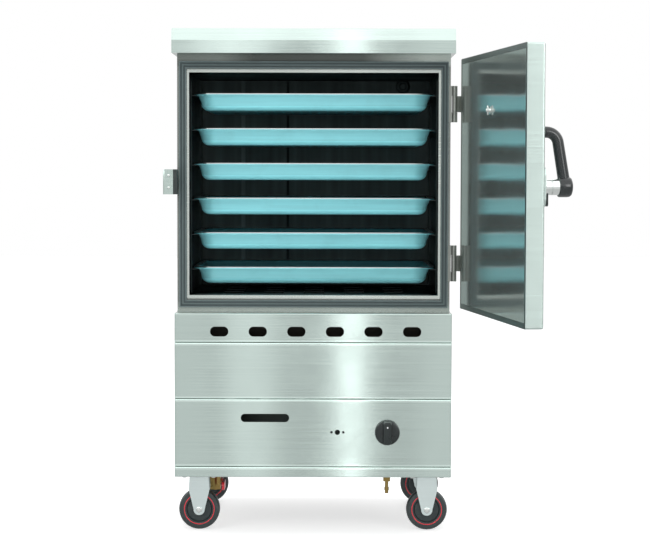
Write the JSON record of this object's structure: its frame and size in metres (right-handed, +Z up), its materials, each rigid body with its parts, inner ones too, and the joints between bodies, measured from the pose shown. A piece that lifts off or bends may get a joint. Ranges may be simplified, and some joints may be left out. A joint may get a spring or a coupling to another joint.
{
  "type": "rice steamer cabinet",
  "caption": "Gas-fired steaming cabinet on castors: insulated chamber with hinged door and sliding trays above a water tank and burner base",
  "frame": {"origin": "on the floor under the middle of the four castors", "axes": "+Z up, +X to the right seen from the front, front towards -Y; the door stands open 98.4 degrees as in the picture"},
  "size_m": [0.9182, 1.16, 1.218],
  "materials": {
    "casing_steel": "brushed stainless sheet",
    "liner_steel": "mill-finish stainless sheet",
    "door_steel": "brushed stainless sheet",
    "insulation_foam": "rigid foam",
    "seal_rubber": "grey silicone",
    "tray_aluminium": "bright drawn sheet",
    "hinge_metal": "satin cast metal",
    "latch_chrome": "polished",
    "grip_plastic": "glossy black",
    "fork_zinc": "zinc-plated",
    "wheel_rubber": "dark grey",
    "knob_plastic": "dark grey moulded",
    "spindle_steel": "turned",
    "valve_brass": "cast and turned",
    "lever_paint": "red coating",
    "pipe_steel": "grey paint",
    "burner_iron": "dark",
    "float_plastic": "moulded"
  },
  "bodies": {
    "cabinet": {"base_floor": "casing_steel", "base_left_panel": "casing_steel", "base_right_panel": "casing_steel", "rear_panel": "casing_steel", "base_deck": "casing_steel", "vent_panel": "casing_steel", "middle_panel": "casing_steel", "control_panel": "casing_steel", "bottom_rail": "casing_steel", "left_side_panel": "casing_steel", "right_side_panel": "casing_steel", "door_frame": "casing_steel", "canopy": "casing_steel", "keeper_bracket": "casing_steel", "chamber_liner": "liner_steel", "left_runner_rack": "liner_steel", "right_runner_rack": "liner_steel", "chamber_floor_plate": "liner_steel", "steam_outlet": "liner_steel", "water_tank": "liner_steel", "tank_floor": "liner_steel", "wall_insulation": "insulation_foam", "door_gasket": "seal_rubber", "hinge_body_leaves": "hinge_metal", "keeper_strike": "latch_chrome", "front_left_castor_fork": "fork_zinc", "front_right_castor_fork": "fork_zinc", "rear_left_castor_fork": "fork_zinc", "rear_right_castor_fork": "fork_zinc", "drain_valve_body": "valve_brass", "gas_nozzle": "valve_brass", "gas_tap_body": "valve_brass", "float_valve": "valve_brass", "drain_pipe": "pipe_steel", "gas_inlet_pipe": "pipe_steel", "gas_manifold": "pipe_steel", "burner": "burner_iron"},
    "door": {"door_outer_skin": "door_steel", "door_inner_panel": "door_steel", "door_insulation": "insulation_foam", "hinge_door_leaves": "hinge_metal", "handle_base": "latch_chrome"},
    "latch": {"latch_stem": "latch_chrome", "handle_grip": "grip_plastic"},
    "gas_plug": {"gas_tap_plug": "valve_brass"},
    "knob": {"knob_spindle": "spindle_steel", "control_knob": "knob_plastic"},
    "drain_cock": {"drain_valve_plug": "valve_brass", "drain_lever": "lever_paint"},
    "float": {"float_arm": "float_plastic"},
    "tray_1": {"tray_1": "tray_aluminium"},
    "tray_2": {"tray_2": "tray_aluminium"},
    "tray_3": {"tray_3": "tray_aluminium"},
    "tray_4": {"tray_4": "tray_aluminium"},
    "tray_5": {"tray_5": "tray_aluminium"},
    "tray_6": {"tray_6": "tray_aluminium"},
    "front_left_wheel": {"front_left_wheel": "wheel_rubber"},
    "front_right_wheel": {"front_right_wheel": "wheel_rubber"},
    "rear_left_wheel": {"rear_left_wheel": "wheel_rubber"},
    "rear_right_wheel": {"rear_right_wheel": "wheel_rubber"}
  },
  "joints": [
    {"name": "door_hinge", "type": "hinge", "parent": "cabinet", "child": "door", "pos_m": [0.343, -0.191, 0.8465], "axis": [0, 0, 1], "range_deg": [-98.4, 75]},
    {"name": "latch_turn", "type": "hinge", "parent": "door", "child": "latch", "pos_m": [0.49393, -0.8106, 0.845], "axis": [-0.9893, -0.1461, 0], "range_deg": [0, 90]},
    {"name": "tap_turn", "type": "hinge", "parent": "cabinet", "child": "gas_plug", "pos_m": [0.18, -0.24, 0.246], "axis": [0, -1, 0], "range_deg": [0, 90]},
    {"name": "knob_press", "type": "slide", "parent": "gas_plug", "child": "knob", "axis": [0, 1, 0], "range_m": [0, 0.003], "stiffness_N_per_m": 1500},
    {"name": "drain_lever_turn", "type": "hinge", "parent": "cabinet", "child": "drain_cock", "pos_m": [-0.2436, -0.14, 0.108], "axis": [1, 0, 0], "range_deg": [0, 90]},
    {"name": "float_swing", "type": "hinge", "parent": "cabinet", "child": "float", "pos_m": [0.205, 0.213, 0.5186], "axis": [1, 0, 0], "range_deg": [0, 20]},
    {"name": "tray_1_slide", "type": "slide", "parent": "cabinet", "child": "tray_1", "axis": [0, -1, 0], "range_m": [0, 0.37]},
    {"name": "tray_2_slide", "type": "slide", "parent": "cabinet", "child": "tray_2", "axis": [0, -1, 0], "range_m": [0, 0.37]},
    {"name": "tray_3_slide", "type": "slide", "parent": "cabinet", "child": "tray_3", "axis": [0, -1, 0], "range_m": [0, 0.37]},
    {"name": "tray_4_slide", "type": "slide", "parent": "cabinet", "child": "tray_4", "axis": [0, -1, 0], "range_m": [0, 0.37]},
    {"name": "tray_5_slide", "type": "slide", "parent": "cabinet", "child": "tray_5", "axis": [0, -1, 0], "range_m": [0, 0.37]},
    {"name": "tray_6_slide", "type": "slide", "parent": "cabinet", "child": "tray_6", "axis": [0, -1, 0], "range_m": [0, 0.37]},
    {"name": "front_left_wheel_spin", "type": "hinge", "parent": "cabinet", "child": "front_left_wheel", "pos_m": [-0.2785, -0.2, 0.05], "axis": [0, 1, 0], "continuous": true},
    {"name": "front_right_wheel_spin", "type": "hinge", "parent": "cabinet", "child": "front_right_wheel", "pos_m": [0.2785, -0.2, 0.05], "axis": [0, 1, 0], "continuous": true},
    {"name": "rear_left_wheel_spin", "type": "hinge", "parent": "cabinet", "child": "rear_left_wheel", "pos_m": [-0.2785, 0.2, 0.05], "axis": [0, 1, 0], "continuous": true},
    {"name": "rear_right_wheel_spin", "type": "hinge", "parent": "cabinet", "child": "rear_right_wheel", "pos_m": [0.2785, 0.2, 0.05], "axis": [0, 1, 0], "continuous": true}
  ]
}
